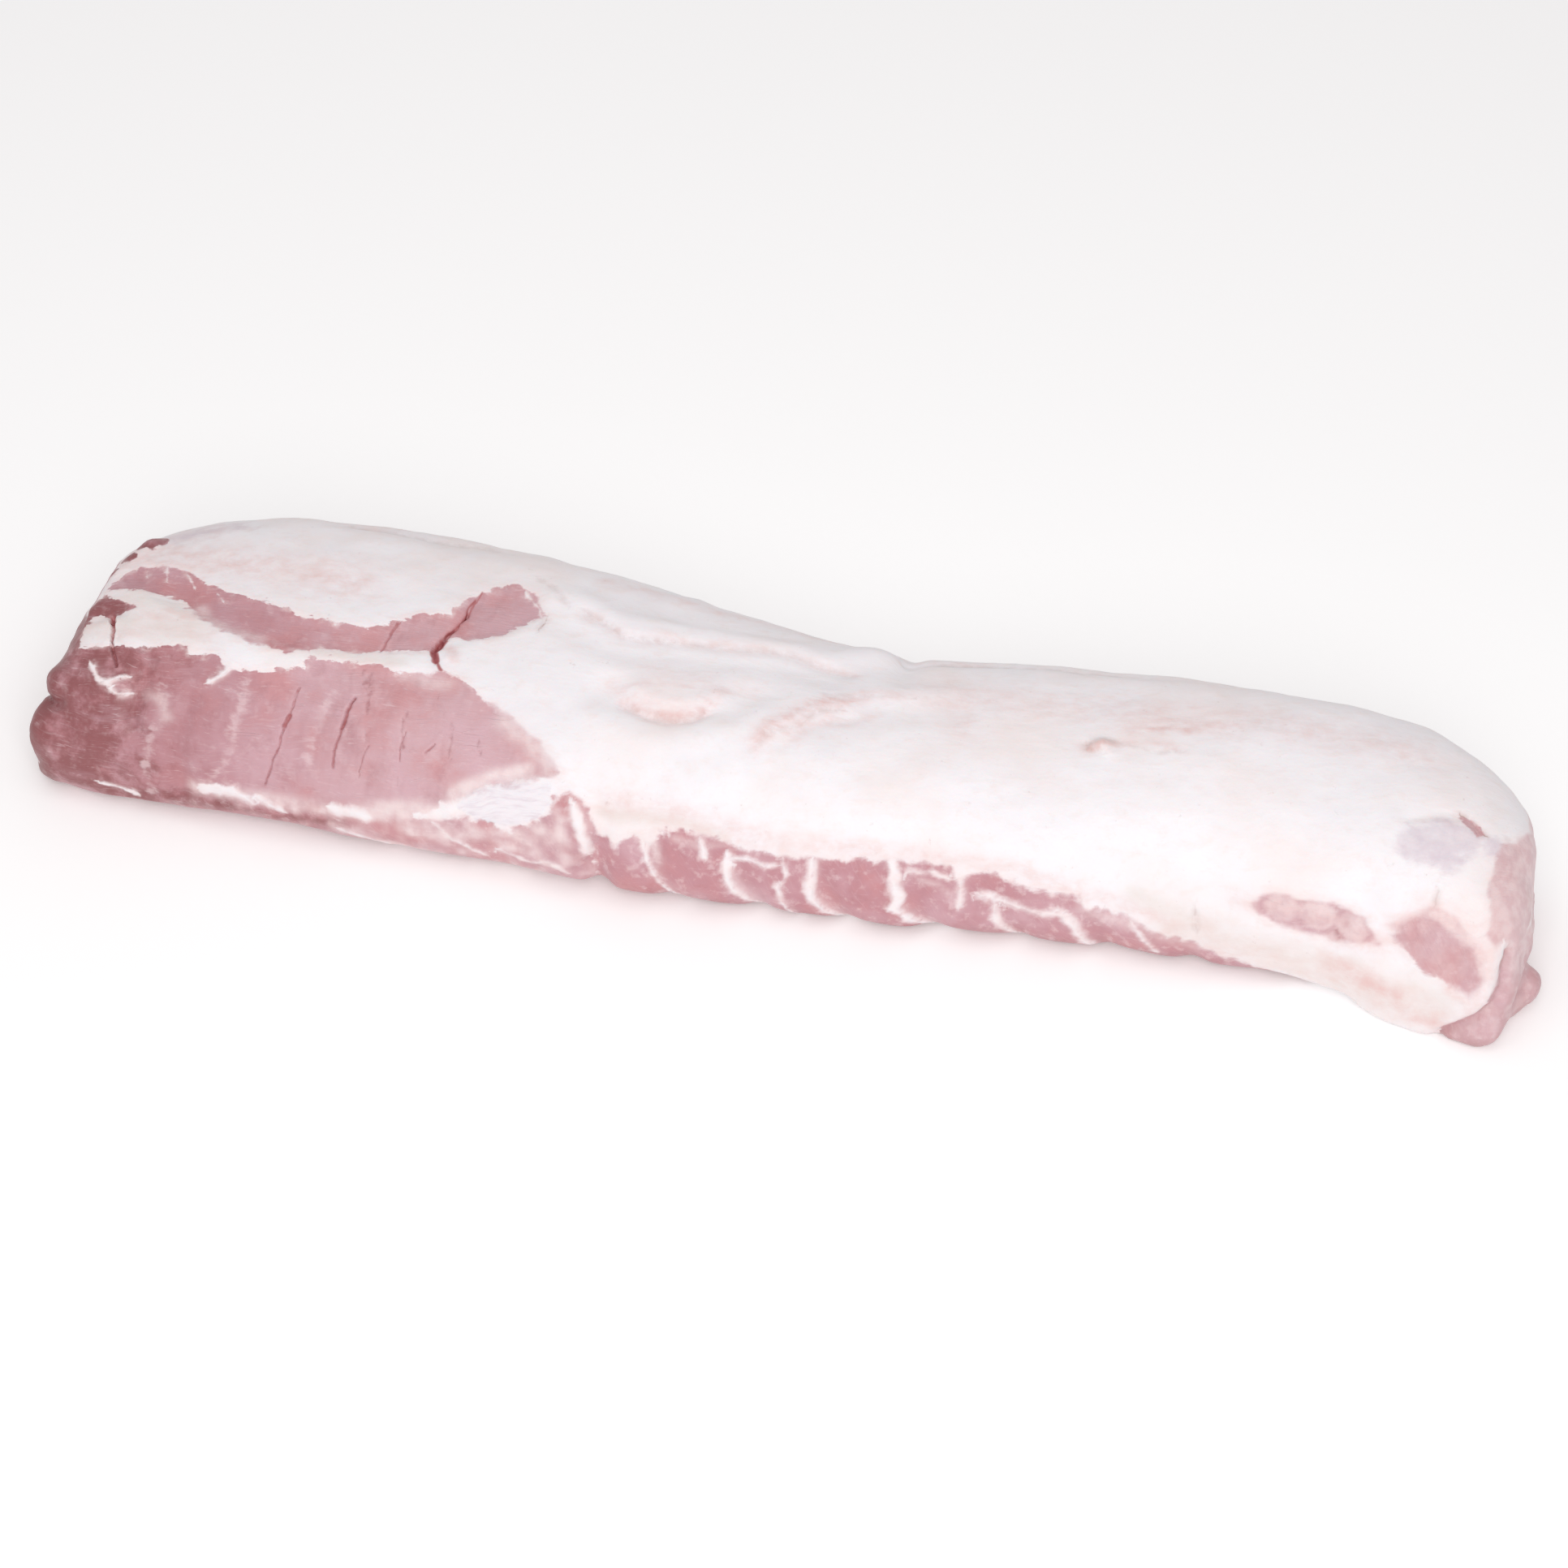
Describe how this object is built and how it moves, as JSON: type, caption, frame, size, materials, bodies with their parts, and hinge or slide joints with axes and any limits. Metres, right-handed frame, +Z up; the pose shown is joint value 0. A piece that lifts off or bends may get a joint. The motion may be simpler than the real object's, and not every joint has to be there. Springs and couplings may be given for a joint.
{
  "type": "boneless pork loin",
  "caption": "Whole raw boneless pork loin lying fat cap up: a long roast with bare lean and knife slits at the blade end, rib marks along the belly edge and a thin flap at the sirloin end.",
  "frame": {"origin": "middle of the bounding box's underside, on the flat sole where the loin rests", "axes": "+X along the loin to the sirloin end, with the blade end at -X; -Y to the belly edge, where the ribs were pulled; +Z up through the fat cap"},
  "size_m": [0.6288, 0.1562, 0.0748],
  "materials": {
    "raw_pork": "satin"
  },
  "bodies": {
    "root": {"pork_loin": "raw_pork"}
  },
  "joints": []
}
